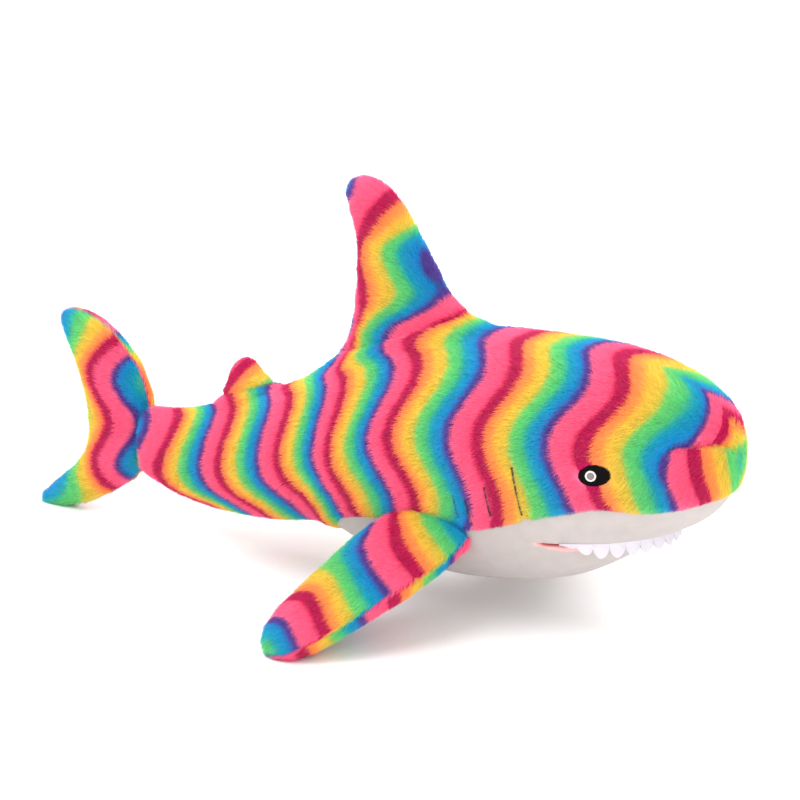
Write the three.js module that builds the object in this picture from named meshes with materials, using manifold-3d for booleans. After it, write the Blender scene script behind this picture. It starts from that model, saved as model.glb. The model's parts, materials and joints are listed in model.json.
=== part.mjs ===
// Plush shark: a stuffed toy with a striped pile-fabric back and fins, a smooth white
// belly, a slit mouth with felt teeth and embroidered eyes. Millimetres, +Z up, nose
// towards +X, mirror-symmetric about the XZ plane, standing on z = 0.
import * as THREE from "three";
import { mergeVertices } from "three/addons/utils/BufferGeometryUtils.js";
import Module from "manifold-3d";

const wasm = await Module();
wasm.setup();

// ---- driving dimensions -------------------------------------------------------------
const FABRIC = 2.5; // thickness of the pile fabric, backing and pile root together
const GAP = 0.3; // clearance between neighbouring pieces
const CORE = FABRIC + 2 * GAP; // depth of the stuffing below the outer surface
const TINY = 0.01;

// Trunk from the tail crease to the nose.
// x, underside, back, widest level, half width
const TRUNK = [
  [-178, 43, 90, 66, 13],
  [-145, 33, 93, 66, 20],
  [-95, 30, 109, 70, 34],
  [-45, 35, 128, 78, 50],
  [0, 42, 151, 88, 61],
  [45, 28, 172, 96, 72],
  [105, 22, 186, 103, 79],
  [150, 26, 188, 110, 80],
  [190, 35, 188, 117, 77],
  [225, 50, 187, 125, 70],
  [250, 64, 186, 128, 66],
  [300, 60, 185, 132, 54],
];
const NOSE_X = 295;
const ORIGIN_X = 4; // the origin lies below the middle of the overall length
const NOSE_START_X = 178; // where the snout begins to round off
const NOSE_POWER = 2.4;
const SECTION_POWER = 2.25;
const BELLY_FLAT = 24.6; // level of the face that the belly lies on
const TRUNK_SIDES = 24;
const TRUNK_STATIONS = 22;

// Seam between the striped sides and the white belly: x, level
const BELLY_SEAM = [[8, 30], [35, 40], [70, 54], [107, 67], [184, 88], [237, 100], [300, 103]];
const BELLY_START_X = 10;

const MOUTH = { cornerX: 189, level: 73.5, slit: 2.4, lining: 1.2, openDeg: 12 };
const TEETH = { count: 22, depth: 8, band: 3, felt: 1.2, standOff: 2.2, cornerInset: 16 };

const TAIL_BEND = { x: -95, radius: 30, swingDeg: 15 };
const TAIL_CREASE = { x: -178, level: 67, half: 25, radius: 8.5, lipX: -172.5 };

// Tail fin, cut level by level: z, leading edge x, trailing edge x, half thickness
const TAIL_FIN = [
  [0, -267, -287, 3.5],
  [5, -253, -285.5, 6],
  [9, -240, -281, 7.5],
  [20, -219, -268, 10.5],
  [34, -197, -250, 13.5],
  [50, -183, -237, 15],
  [67, -179, -232, 16],
  [84, -178, -232, 16.5],
  [100, -180, -235, 16.5],
  [122, -189, -243, 15.5],
  [140, -206, -252, 13.5],
  [151, -222, -257, 10.5],
  [156, -235, -256, 6.5],
];
const TAIL_TIPS = { lower: [-277, 0], upper: [-247, 158.5] };

// Upright fins: ends of the hinge line, height along the fin, leading and trailing edge
// offsets from the middle of the hinge line, half thickness. The back rises to each fin
// in a flare: depth of its middle below the hinge line, half length, half width, half height
const DORSAL_FIN = {
  front: [91, 203], rear: [3, 169], radius: 18,
  stations: [[14, 35, -39, 17], [34, 24, -34, 16.5], [58, 10, -33, 14.5],
    [77, -2, -39, 12], [89, -13, -43, 9.5], [94, -20, -41, 6.5]],
  tip: [98, -33], flare: [22, 62, 34, 18],
};
const REAR_DORSAL_FIN = {
  front: [-66, 129], rear: [-108, 115], radius: 9,
  stations: [[6, 15, -17, 8.5], [13, 9, -14, 7.5], [18, 5, -9.5, 5.5]],
  tip: [22, -2], flare: [11, 31, 17, 8],
};

// Right flipper; the left one is its mirror image.
// distance from the root along the flipper, half chord, half thickness
const FLIPPER = {
  root: [108, -76, 67], tip: [49, -166, 5], rootHalf: 35, rootRadius: 17,
  chordRoot: [0.985, -0.06, 0.1], chordTip: [0.7, -0.68, -0.1],
  stations: [[16, 36, 17], [36, 36.5, 17.5], [60, 34.5, 16.5], [84, 30.5, 15],
    [104, 25, 13.5], [118, 17.5, 10.5], [125, 9, 6]],
  end: 128,
};
const FIN_SIDES = 16;
const SOCKET_GAP = 1.2; // room around a fin's round root
const ROOT_SEAM = 4; // the fabric of a fin stops this far below its hinge line
const LEVEL_OFF = 60; // distance over which a fin's sections turn away from its root line

const EYE = { x: 226, level: 126.5, long: 21.5, high: 14.5, tiltDeg: 8, thick: 1.4,
  ringX: -2.2, ringZ: 0, ringOuter: 3.6, ringInner: 2.3 };
// Gill tucks: x at the top, level at the top, x at the bottom, level at the bottom
const GILLS = [[134, 101, 137, 86], [143, 99, 147, 82], [157, 110, 161, 91], [176, 126, 183, 95]];
const THREAD = 0.7;

const COLOURS = {
  stripes: 0xf0784f, stripesFar: 0xe56a5a, belly: 0xe9e2df, lining: 0xe9a9a6, felt: 0xf4f2f4,
  stuffing: 0xf7f5ef, black: 0x17110f, white: 0xf2f0ee, lilac: 0xa39cab, thread: 0x4b1e3a,
};

// ---- helpers ------------------------------------------------------------------------
// Smooth curve through the rows of a table, looked up by the first column.
function lookUp(table, at, column) {
  const last = table.length - 1;
  let i = 0;
  while (i < last - 1 && at > table[i + 1][0]) i += 1;
  const slope = (k) => {
    const a = table[Math.max(k - 1, 0)];
    const b = table[Math.min(k + 1, last)];
    return (b[column] - a[column]) / (b[0] - a[0]);
  };
  const width = table[i + 1][0] - table[i][0];
  const t = THREE.MathUtils.clamp((at - table[i][0]) / width, 0, 1);
  const [p, q] = [table[i][column], table[i + 1][column]];
  const [m, n] = [slope(i) * width, slope(i + 1) * width];
  return p + t * m + t * t * (3 * (q - p) - 2 * m - n) + t * t * t * (2 * (p - q) + m + n);
}

// Closed surface through rings of equal length; a ring of one point is a pole.
function loft(rings) {
  const sides = Math.max(...rings.map((ring) => ring.length));
  const points = rings.flat();
  const starts = [];
  rings.reduce((sum, ring) => {
    starts.push(sum);
    return sum + ring.length;
  }, 0);
  const index = [];
  const vertex = (ring, k) => starts[ring] + (rings[ring].length === 1 ? 0 : k % sides);
  for (let r = 0; r < rings.length - 1; r += 1) {
    for (let k = 0; k < sides; k += 1) {
      const [a, b] = [vertex(r, k), vertex(r, k + 1)];
      const [c, d] = [vertex(r + 1, k), vertex(r + 1, k + 1)];
      if (a !== b) index.push(a, b, d);
      if (c !== d) index.push(a, d, c);
    }
  }
  const geometry = new THREE.BufferGeometry();
  geometry.setAttribute("position", new THREE.Float32BufferAttribute(points.flat(), 3));
  geometry.setIndex(index);
  return geometry;
}

function solidOf(source) {
  let geometry = source.clone();
  geometry.deleteAttribute("normal");
  geometry.deleteAttribute("uv");
  geometry = mergeVertices(geometry, 1e-5);
  const corners = Array.from(geometry.index.array);
  const proper = corners.filter((_, i) => {
    const [a, b, c] = corners.slice(i - (i % 3), i - (i % 3) + 3);
    return a !== b && b !== c && c !== a;
  });
  const triVerts = new Uint32Array(proper);
  const vertProperties = new Float32Array(geometry.attributes.position.array);
  const solid = new wasm.Manifold(new wasm.Mesh({ numProp: 3, vertProperties, triVerts }));
  if (solid.volume() > 0) return solid;
  return new wasm.Manifold(new wasm.Mesh({
    numProp: 3, vertProperties, triVerts: triVerts.reverse(),
  }));
}

function geometryOf(solid) {
  const mesh = solid.getMesh();
  const geometry = new THREE.BufferGeometry();
  geometry.setAttribute("position", new THREE.Float32BufferAttribute(mesh.vertProperties, 3));
  geometry.setIndex(Array.from(mesh.triVerts));
  return geometry;
}

function block(low, high) {
  const size = high.map((value, k) => value - low[k]);
  const geometry = new THREE.BoxGeometry(...size);
  geometry.translate(...low.map((value, k) => value + size[k] / 2));
  return solidOf(geometry);
}

// Prism across the whole width with an outline in the XZ plane.
function prismXZ(outline) {
  const shape = new THREE.Shape(outline.map(([x, z]) => new THREE.Vector2(x, z)));
  const geometry = new THREE.ExtrudeGeometry(shape, { depth: 300, bevelEnabled: false });
  geometry.rotateX(Math.PI / 2);
  geometry.translate(0, 150, 0);
  return solidOf(geometry);
}

function cylinder(x, radius) {
  const geometry = new THREE.CylinderGeometry(radius, radius, 400, 32);
  geometry.rotateX(Math.PI / 2);
  geometry.translate(x, 0, 0);
  return solidOf(geometry);
}

const signedPower = (value, power) => Math.sign(value) * Math.abs(value) ** power;

const group = new THREE.Group();
function add(name, geometry, colour, roughness = 0.95) {
  const material = new THREE.MeshStandardMaterial({ color: colour, roughness, metalness: 0 });
  const mesh = new THREE.Mesh(geometry, material);
  mesh.name = name;
  group.add(mesh);
}
const addSolid = (name, solid, colour) => add(name, geometryOf(solid), colour);

// ---- trunk --------------------------------------------------------------------------
function noseRounding(x) {
  const u = THREE.MathUtils.clamp((x - NOSE_START_X) / (NOSE_X - NOSE_START_X), 0, 1);
  return (1 - u ** NOSE_POWER) ** (1 / NOSE_POWER);
}

function trunkSection(x) {
  const f = noseRounding(x);
  const middle = lookUp(TRUNK, x, 3);
  return {
    middle,
    down: (middle - lookUp(TRUNK, x, 1)) * f,
    up: (lookUp(TRUNK, x, 2) - middle) * f,
    half: lookUp(TRUNK, x, 4) * f,
  };
}

// Half width of the trunk at a level.
function trunkSide(x, level) {
  const { middle, down, up, half } = trunkSection(x);
  const v = Math.abs(level - middle) / (level > middle ? up : down);
  return half * (1 - Math.min(v, 1) ** SECTION_POWER) ** (1 / SECTION_POWER);
}

function trunkNormal(x, level) {
  const step = 0.5;
  const dx = (trunkSide(x + step, level) - trunkSide(x - step, level)) / (2 * step);
  const dz = (trunkSide(x, level + step) - trunkSide(x, level - step)) / (2 * step);
  return new THREE.Vector3(-dx, -1, -dz).normalize();
}

function trunkRing(x, inset) {
  const { middle, down, up, half } = trunkSection(x);
  const ring = [];
  for (let k = 0; k < TRUNK_SIDES; k += 1) {
    const angle = (k / TRUNK_SIDES) * Math.PI * 2;
    const y = signedPower(Math.sin(angle), 2 / SECTION_POWER);
    const z = signedPower(Math.cos(angle), 2 / SECTION_POWER);
    const height = Math.max((z > 0 ? up : down) - inset, TINY);
    const level = Math.max(middle + z * height, BELLY_FLAT + inset);
    ring.push([x, y * Math.max(half - inset, TINY), level]);
  }
  return ring;
}

// Hinge line of an upright fin.
function hingeLine({ front, rear }) {
  const ends = [front, rear].map(([x, z]) => new THREE.Vector3(x, 0, z));
  return {
    middle: ends[0].clone().add(ends[1]).multiplyScalar(0.5),
    along: ends[0].clone().sub(ends[1]).normalize(),
    half: ends[0].distanceTo(ends[1]) / 2,
  };
}

// An ellipsoid or a box in the frame of a hinge line, drop below it.
function onHinge({ middle, along }, geometry, drop) {
  geometry.translate(0, 0, -drop);
  geometry.applyQuaternion(new THREE.Quaternion()
    .setFromUnitVectors(new THREE.Vector3(1, 0, 0), along));
  geometry.translate(middle.x, middle.y, middle.z);
  return solidOf(geometry);
}

function ellipsoidOf(...radii) {
  const geometry = new THREE.SphereGeometry(1, 16, 10);
  geometry.rotateZ(Math.PI / 2);
  return geometry.scale(...radii);
}

// Where the back rises to a fin: a wall around the fin's round root and a flare below it.
function finMound(spec, inset) {
  const hinge = hingeLine(spec);
  const wall = SOCKET_GAP + FABRIC + 0.1 - inset;
  const [drop, ...flare] = spec.flare;
  const below = new THREE.BoxGeometry(200, 200, 100);
  return rootEllipsoid(hinge.middle, hinge.along, hinge.half, spec.radius, wall)
    .intersect(onHinge(hinge, below, 50 + ROOT_SEAM + 1))
    .add(onHinge(hinge, ellipsoidOf(...flare.map((radius) => radius - inset)), drop));
}

// The trunk's outer surface, or one lying deeper by inset.
function trunk(inset) {
  const start = TRUNK[0][0];
  const end = NOSE_X - inset;
  const rings = [[[start, 0, TRUNK[0][3]]]];
  for (let i = 0; i < TRUNK_STATIONS; i += 1) {
    const u = i / TRUNK_STATIONS;
    const x = start + (end - start) * (u < 0.6 ? u * 1.12 : 0.672 + 0.328 * Math.sin(
      ((u - 0.6) / 0.4) * (Math.PI / 2),
    ));
    rings.push(trunkRing(x, inset));
  }
  const nose = trunkSection(NOSE_X);
  rings.push([[end, 0, nose.middle]]);
  return solidOf(loft(rings)).add(finMound(DORSAL_FIN, inset))
    .add(finMound(REAR_DORSAL_FIN, inset));
}

// Everything below the belly seam, ahead of the belly panel's rear tip.
function belowSeam(shift) {
  const outline = [[BELLY_START_X - shift, -50]];
  for (let x = BELLY_START_X; x <= 300; x += 14.5) {
    outline.push([x - shift, lookUp(BELLY_SEAM, x, 1) + shift]);
  }
  outline.push([340, 108 + shift], [340, -50]);
  return prismXZ(outline);
}

// ---- fins ---------------------------------------------------------------------------
// A fin has sections [along, leading edge, trailing edge, half thickness], each a lens
// between its two edges, closed by end points [along, chord]; place(along, chord, thick,
// inset) gives the point in space.
function sectionPoint(fin, section, angle, inset, rise) {
  const [along, lead, trail, thick] = section;
  const low = fin.low[0] + inset * fin.endInset;
  const high = fin.tip[0] - inset * fin.endInset;
  const half = Math.max((lead - trail) / 2 - inset, TINY);
  const height = Math.max(thick - inset, TINY) * Math.sin(angle);
  const level = THREE.MathUtils.clamp(along, low, high);
  const thickway = rise ? rise * Math.max(height, GAP / 2) : height;
  return fin.place(level, (lead + trail) / 2 + half * Math.cos(angle), thickway, inset);
}

// The closed outer shape of a fin, or a smaller one inside it.
function finSolid(fin, inset) {
  const low = fin.low[0] + inset * fin.endInset;
  const high = fin.tip[0] - inset * fin.endInset;
  const inside = fin.sections.filter(([along]) => along >= low && along <= high);
  const rings = inside.map((section) => {
    const ring = [];
    for (let k = 0; k < FIN_SIDES; k += 1) {
      ring.push(sectionPoint(fin, section, (k / FIN_SIDES) * Math.PI * 2, inset, 0));
    }
    return ring;
  });
  const end = ([along, chord], sign) => [
    fin.place(along + sign * inset * fin.endInset, chord, 0, inset)];
  return solidOf(loft([end(fin.low, 1), ...rings, end(fin.tip, -1)]));
}

// One of a fin's two fabric panels, an open bowl: rise is 1 or -1. It starts at the root
// seam, or at the lower tip of a fin that has no root section.
function finPanel(fin, rise) {
  const half = FIN_SIDES / 2;
  const ringOf = (section) => {
    const outer = [];
    const inner = [];
    for (let k = 0; k <= half; k += 1) {
      const angle = (k / half) * Math.PI;
      outer.push(sectionPoint(fin, section, angle, 0, rise));
      inner.unshift(sectionPoint(fin, section, angle, FABRIC, rise));
    }
    return [...outer, ...inner];
  };
  const endOf = ([along, chord], sign) => {
    const at = (inset) => fin.place(along + sign * inset * fin.endInset, chord,
      rise * GAP / 2, inset);
    return [...Array(half + 1).fill(at(0)), ...Array(half + 1).fill(at(FABRIC))];
  };
  const rings = fin.seam
    ? [fin.seam, ...fin.sections.filter((section) => section[0] >= 0)].map(ringOf)
    : [endOf(fin.low, 1), ...fin.sections.map(ringOf)];
  rings.push(endOf(fin.tip, -1));
  return bowl(rings, Boolean(fin.seam));
}

// A bowl through rings that run out along its outer face and back along its inner face.
function bowl(rings, openRoot) {
  const geometry = loft(rings);
  const index = Array.from(geometry.index.array);
  const sides = rings[0].length;
  if (openRoot) {
    for (let k = 0; k < sides / 2 - 1; k += 1) {
      const [a, b, c, d] = [k, k + 1, sides - 2 - k, sides - 1 - k];
      index.push(a, c, b, a, d, c);
    }
  }
  geometry.setIndex(index);
  return solidOf(geometry);
}

// Sections of a round root, from its deepest point to the hinge line.
function rootSections(half, radius) {
  return [-60, -30, 0].map((degrees) => {
    const shrink = Math.cos(THREE.MathUtils.degToRad(degrees));
    const depth = radius * Math.sin(THREE.MathUtils.degToRad(degrees));
    return [depth, half * shrink, -half * shrink, radius * shrink];
  });
}

function seamSection(half, radius) {
  const shrink = Math.sqrt(1 - (ROOT_SEAM / radius) ** 2);
  return [-ROOT_SEAM, half * shrink, -half * shrink, radius * shrink];
}

// Round root, or the socket for it, as an ellipsoid about the hinge line.
function rootEllipsoid(centre, axis, half, radius, grow) {
  const geometry = ellipsoidOf(half + grow, radius + grow, radius + grow);
  return onHinge({ middle: centre, along: axis }, geometry, 0);
}

function uprightFin(spec) {
  const { middle, along, half } = hingeLine(spec);
  // below the hinge line the sections lie square to it, above they turn level
  const place = (up, chord, thick) => (up <= 0
    ? [middle.x + along.x * chord - along.z * up, thick,
      middle.z + along.z * chord + along.x * up]
    : [middle.x + chord * THREE.MathUtils.lerp(along.x, 1, Math.min(up / LEVEL_OFF, 1)), thick,
      middle.z + up + chord * along.z * Math.max(0, 1 - up / LEVEL_OFF)]);
  return {
    place, endInset: 1.2, low: [-spec.radius, 0], tip: spec.tip,
    seam: seamSection(half, spec.radius),
    sections: [...rootSections(half, spec.radius), ...spec.stations],
    socket: () => rootEllipsoid(middle, along, half, spec.radius, SOCKET_GAP),
  };
}

function tailFin() {
  return {
    place: (level, x, y) => [x, y, level], endInset: 1.6,
    low: [TAIL_TIPS.lower[1], TAIL_TIPS.lower[0]],
    tip: [TAIL_TIPS.upper[1], TAIL_TIPS.upper[0]],
    sections: TAIL_FIN,
  };
}

// Round root of the tail fin, turning about the vertical line through the crease.
function tailKnuckle(grow) {
  const { x, level, half, radius } = TAIL_CREASE;
  const centre = new THREE.Vector3(x, 0, level);
  return rootEllipsoid(centre, new THREE.Vector3(0, 0, 1), half, radius, grow);
}

function flipper(side) {
  const mirror = (v) => new THREE.Vector3(v[0], v[1] * side, v[2]);
  const root = mirror(FLIPPER.root);
  const length = mirror(FLIPPER.tip).sub(root).normalize();
  const chordAt = (turn) => {
    const chord = mirror(FLIPPER.chordRoot).lerp(mirror(FLIPPER.chordTip), turn);
    return chord.addScaledVector(length, -chord.dot(length) * turn).normalize();
  };
  const place = (along, chord, thick, inset) => {
    const chordway = chordAt(THREE.MathUtils.smoothstep(along, 0, LEVEL_OFF));
    const outward = new THREE.Vector3().crossVectors(chordway, length).normalize();
    if (outward.z < 0) outward.negate();
    const straight = new THREE.Vector3().crossVectors(outward, chordway);
    if (straight.dot(length) < 0) straight.negate();
    const point = root.clone().addScaledVector(along <= 0 ? straight : length, along)
      .addScaledVector(chordway, chord).addScaledVector(outward, thick);
    // the tip lies flat on the ground
    return [point.x, point.y, Math.max(point.z, inset)];
  };
  const { rootHalf, rootRadius } = FLIPPER;
  return {
    place, endInset: 1, low: [-rootRadius, 0], tip: [FLIPPER.end, 0],
    seam: seamSection(rootHalf, rootRadius),
    sections: [...rootSections(rootHalf, rootRadius),
      ...FLIPPER.stations.map(([along, half, thick]) => [along, half, -half, thick])],
    socket: () => rootEllipsoid(root, chordAt(0), rootHalf, rootRadius, SOCKET_GAP),
  };
}

function addFin(fin, [upper, lower], stuffing) {
  addSolid(upper, finPanel(fin, 1), COLOURS.stripesFar);
  addSolid(lower, finPanel(fin, -1), COLOURS.stripes);
  addSolid(stuffing, finSolid(fin, CORE), COLOURS.stuffing);
}

// The tail fin's stuffing runs forward into its round root.
function addTailFin() {
  const fin = tailFin();
  const room = tailKnuckle(2 * GAP);
  addSolid("left_tail_fin_panel", finPanel(fin, 1).subtract(room), COLOURS.stripesFar);
  addSolid("right_tail_fin_panel", finPanel(fin, -1).subtract(room), COLOURS.stripes);
  const stuffing = finSolid(fin, CORE + 2 * GAP).add(tailKnuckle(0));
  addSolid("tail_fin_stuffing", stuffing, COLOURS.stuffing);
}

// ---- body, stem and jaw -------------------------------------------------------------
const bend = TAIL_BEND;
const bendLip = bend.x + 1 + (lookUp(TRUNK, bend.x, 4) + 1)
  * Math.sin(THREE.MathUtils.degToRad(bend.swingDeg));
const ahead = block([bendLip, -200, -100], [400, 200, 400])
  .subtract(cylinder(bend.x, bend.radius + GAP));
const behind = block([TAIL_CREASE.lipX, -200, -100], [bend.x, 200, 400])
  .add(cylinder(bend.x, bend.radius))
  .subtract(tailKnuckle(SOCKET_GAP));

const slitTop = MOUTH.level + MOUTH.slit / 2;
const slitFloor = MOUTH.level - MOUTH.slit / 2;
// the jaw's rear face leans forward so that the jaw can drop
const lean = Math.tan(THREE.MathUtils.degToRad(MOUTH.openDeg + 1));
const jawRegion = prismXZ([[MOUTH.cornerX + GAP, slitFloor], [400, slitFloor], [400, -50],
  [MOUTH.cornerX + GAP + (slitFloor + 50) * lean, -50]]);

const dorsal = uprightFin(DORSAL_FIN);
const rearDorsal = uprightFin(REAR_DORSAL_FIN);
const flippers = { right: flipper(1), left: flipper(-1) };
const sockets = [dorsal, rearDorsal, flippers.right, flippers.left]
  .map((fin) => fin.socket()).reduce((all, socket) => all.add(socket));
const rightHalf = block([-400, -200, -100], [400, -GAP / 2, 400]);
const leftHalf = block([-400, GAP / 2, -100], [400, 200, 400]);

function addTrunk() {
  const skin = trunk(0).subtract(trunk(FABRIC)).subtract(sockets);
  const striped = skin.subtract(belowSeam(GAP / 2));
  const white = skin.intersect(belowSeam(-GAP / 2));
  const core = trunk(CORE).subtract(sockets);
  addSolid("right_side_panel", striped.intersect(ahead).intersect(rightHalf), COLOURS.stripes);
  addSolid("left_side_panel", striped.intersect(ahead).intersect(leftHalf), COLOURS.stripesFar);
  addSolid("right_stem_panel", striped.intersect(behind).intersect(rightHalf), COLOURS.stripes);
  addSolid("left_stem_panel", striped.intersect(behind).intersect(leftHalf),
    COLOURS.stripesFar);
  addSolid("belly_panel",
    white.intersect(block([0, -200, -100], [MOUTH.cornerX, 200, 400])), COLOURS.belly);
  addSolid("snout_underside_panel",
    white.intersect(block([MOUTH.cornerX + GAP, -200, slitTop], [400, 200, 400])),
    COLOURS.belly);
  addSolid("jaw_panel", white.intersect(jawRegion), COLOURS.belly);
  const palate = slitTop + MOUTH.lining + GAP;
  addSolid("body_stuffing", core.intersect(ahead)
    .subtract(block([MOUTH.cornerX - FABRIC, -200, -100], [400, 200, palate])),
  COLOURS.stuffing);
  addSolid("stem_stuffing", core.intersect(behind), COLOURS.stuffing);
  addSolid("jaw_stuffing", core.intersect(jawRegion).intersect(
    block([0, -200, -100], [400, 200, slitFloor - MOUTH.lining - GAP])), COLOURS.stuffing);
  const lining = trunk(CORE);
  addSolid("upper_mouth_lining", lining.intersect(
    block([MOUTH.cornerX + GAP, -200, slitTop], [400, 200, slitTop + MOUTH.lining])),
  COLOURS.lining);
  addSolid("lower_mouth_lining", lining.intersect(jawRegion).intersect(
    block([0, -200, slitFloor - MOUTH.lining], [400, 200, slitFloor])), COLOURS.lining);
}

// ---- teeth, eyes and gills ----------------------------------------------------------
// Felt strip with pointed teeth, hanging from the upper lip outside the lower jaw.
function addTeeth() {
  const top = slitTop - GAP;
  const lip = [];
  const steps = TEETH.count * 2;
  for (let k = 0; k <= 60; k += 1) {
    const x = MOUTH.cornerX + TEETH.cornerInset + (k / 60) * 90;
    const side = trunkSide(x, slitFloor);
    if (side > 6) lip.push(new THREE.Vector3(x, -side, 0));
  }
  const tipX = lip[lip.length - 1].x + 3;
  const mirrored = lip.map((p) => new THREE.Vector3(p.x, -p.y, 0)).reverse();
  const curve = new THREE.CatmullRomCurve3([...lip, new THREE.Vector3(tipX, 0, 0), ...mirrored]);
  const rings = [];
  for (let k = 0; k <= steps; k += 1) {
    const u = k / steps;
    const p = curve.getPointAt(u);
    const along = curve.getTangentAt(u);
    const out = [along.y, -along.x];
    const end = Math.min(1, Math.min(k, steps - k) / 6);
    const low = top - TEETH.band - (k % 2 ? TEETH.depth - TEETH.band : 0) * end - end;
    const at = (offset, z) => [p.x + out[0] * offset, p.y + out[1] * offset, z];
    const [inner, outer] = [TEETH.standOff, TEETH.standOff + TEETH.felt];
    rings.push([at(inner, low), at(outer, low), at(outer, top), at(inner, top)]);
  }
  const centre = (ring) => ring.reduce((sum, p) => sum.map((v, i) => v + p[i] / 4), [0, 0, 0]);
  const strip = loft([[centre(rings[0])], ...rings, [centre(rings[steps])]]);
  addSolid("upper_teeth", solidOf(strip), COLOURS.felt);
}

function eyePiece(shape, side, thickness, lift) {
  const geometry = new THREE.ExtrudeGeometry(shape,
    { depth: thickness, bevelEnabled: false, curveSegments: 12 });
  geometry.translate(0, 0, lift);
  const normal = trunkNormal(EYE.x, EYE.level);
  const up = new THREE.Vector3(0, 0, 1).addScaledVector(normal, -normal.z).normalize();
  const across = new THREE.Vector3().crossVectors(up, normal).normalize();
  const turn = new THREE.Matrix4().makeBasis(across, up, normal);
  turn.setPosition(EYE.x, -trunkSide(EYE.x, EYE.level), EYE.level);
  geometry.applyMatrix4(turn);
  if (side > 0) return geometry;
  geometry.scale(1, -1, 1);
  return geometryOf(solidOf(geometry));
}

function addEye(name, side) {
  const tilt = THREE.MathUtils.degToRad(EYE.tiltDeg);
  const patch = new THREE.Shape().absellipse(0, 0, EYE.long / 2, EYE.high / 2, 0, Math.PI * 2,
    false, tilt);
  const ring = new THREE.Shape().absarc(EYE.ringX, EYE.ringZ, EYE.ringOuter, 0, Math.PI * 2);
  ring.holes.push(new THREE.Path().absarc(EYE.ringX, EYE.ringZ, EYE.ringInner + GAP, 0,
    Math.PI * 2, true));
  const pupil = new THREE.Shape().absarc(EYE.ringX, EYE.ringZ, EYE.ringInner, 0, Math.PI * 2);
  const seat = GAP + EYE.thick + GAP;
  add(`${name}_eye_patch`, eyePiece(patch, side, EYE.thick, GAP), COLOURS.black, 0.6);
  add(`${name}_eye_ring`, eyePiece(ring, side, 0.8, seat), COLOURS.white, 0.7);
  add(`${name}_eye_pupil`, eyePiece(pupil, side, 0.7, seat), COLOURS.lilac, 0.7);
}

function addGillStitches(name, side) {
  GILLS.forEach(([topX, topZ, bottomX, bottomZ], i) => {
    const points = [0, 0.25, 0.5, 0.75, 1].map((t) => {
      const x = THREE.MathUtils.lerp(topX, bottomX, t);
      const z = THREE.MathUtils.lerp(topZ, bottomZ, t);
      const y = -trunkSide(x, z);
      return new THREE.Vector3(x, y, z).addScaledVector(trunkNormal(x, z), THREAD + 2 * GAP);
    });
    const section = new THREE.Shape().absarc(0, 0, THREAD, 0, Math.PI * 2);
    const geometry = new THREE.ExtrudeGeometry(section, {
      steps: 4, curveSegments: 3, bevelEnabled: false,
      extrudePath: new THREE.CatmullRomCurve3(points),
    });
    if (side < 0) geometry.scale(1, -1, 1);
    add(`${name}_gill_stitch_${i + 1}`, geometryOf(solidOf(geometry)), COLOURS.thread);
  });
}

addTrunk();
addTailFin();
addFin(dorsal, ["left_dorsal_fin_panel", "right_dorsal_fin_panel"], "dorsal_fin_stuffing");
addFin(rearDorsal, ["left_rear_dorsal_fin_panel", "right_rear_dorsal_fin_panel"],
  "rear_dorsal_fin_stuffing");
addTeeth();
for (const [name, side] of [["right", 1], ["left", -1]]) {
  addFin(flippers[name], [`${name}_flipper_top_panel`, `${name}_flipper_bottom_panel`],
    `${name}_flipper_stuffing`);
  addEye(name, side);
  addGillStitches(name, side);
}

group.position.x = -ORIGIN_X;
export default group;
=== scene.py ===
"""Plush shark with a striped pile back and fins and a smooth white belly: looks around the CAD frame."""
import json
import math

import bmesh
import bpy
import numpy as np
from mathutils import Matrix, Vector, noise


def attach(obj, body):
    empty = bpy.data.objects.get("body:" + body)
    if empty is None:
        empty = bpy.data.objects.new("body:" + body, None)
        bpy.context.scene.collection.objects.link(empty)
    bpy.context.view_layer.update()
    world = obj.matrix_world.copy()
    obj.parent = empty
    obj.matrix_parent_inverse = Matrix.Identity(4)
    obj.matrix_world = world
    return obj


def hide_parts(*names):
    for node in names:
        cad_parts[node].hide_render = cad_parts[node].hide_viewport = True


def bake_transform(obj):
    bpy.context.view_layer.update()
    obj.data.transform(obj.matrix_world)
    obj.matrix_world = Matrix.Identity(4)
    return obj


MM = 0.001

# ---- sizes, in millimetres of the CAD frame ----------------------------------------------
ORIGIN_X = 4
# The trunk's sections: x, underside, back, widest level, half width
TRUNK = [
    (-178, 43, 90, 66, 13), (-145, 33, 93, 66, 20), (-95, 30, 109, 70, 34), (-45, 35, 128, 78, 50),
    (0, 42, 151, 88, 61), (45, 28, 172, 96, 72), (105, 22, 186, 103, 79), (150, 26, 188, 110, 80),
    (190, 35, 188, 117, 77), (225, 50, 187, 125, 70), (250, 64, 186, 128, 66), (300, 60, 185, 132, 54),
]
NOSE_X = 295
NOSE_START_X = 178
NOSE_POWER = 2.4
SECTION_POWER = 2.25
BELLY_SEAM = [(8, 34), (22, 50), (35, 62), (56, 69), (75, 72), (107, 73), (145, 77.5), (182, 90), (206, 97), (230, 102.5), (251, 101),
              (273, 102.5), (286, 106), (300, 106)]
MOUTH_X = 189
MOUTH_LEVEL = 73.5
MOUTH_HALF_GAP = 1.2
DORSAL_HINGE = ((3, 169), (91, 203))
DORSAL_FLARE = (22, 62, 34, 18)
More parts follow.
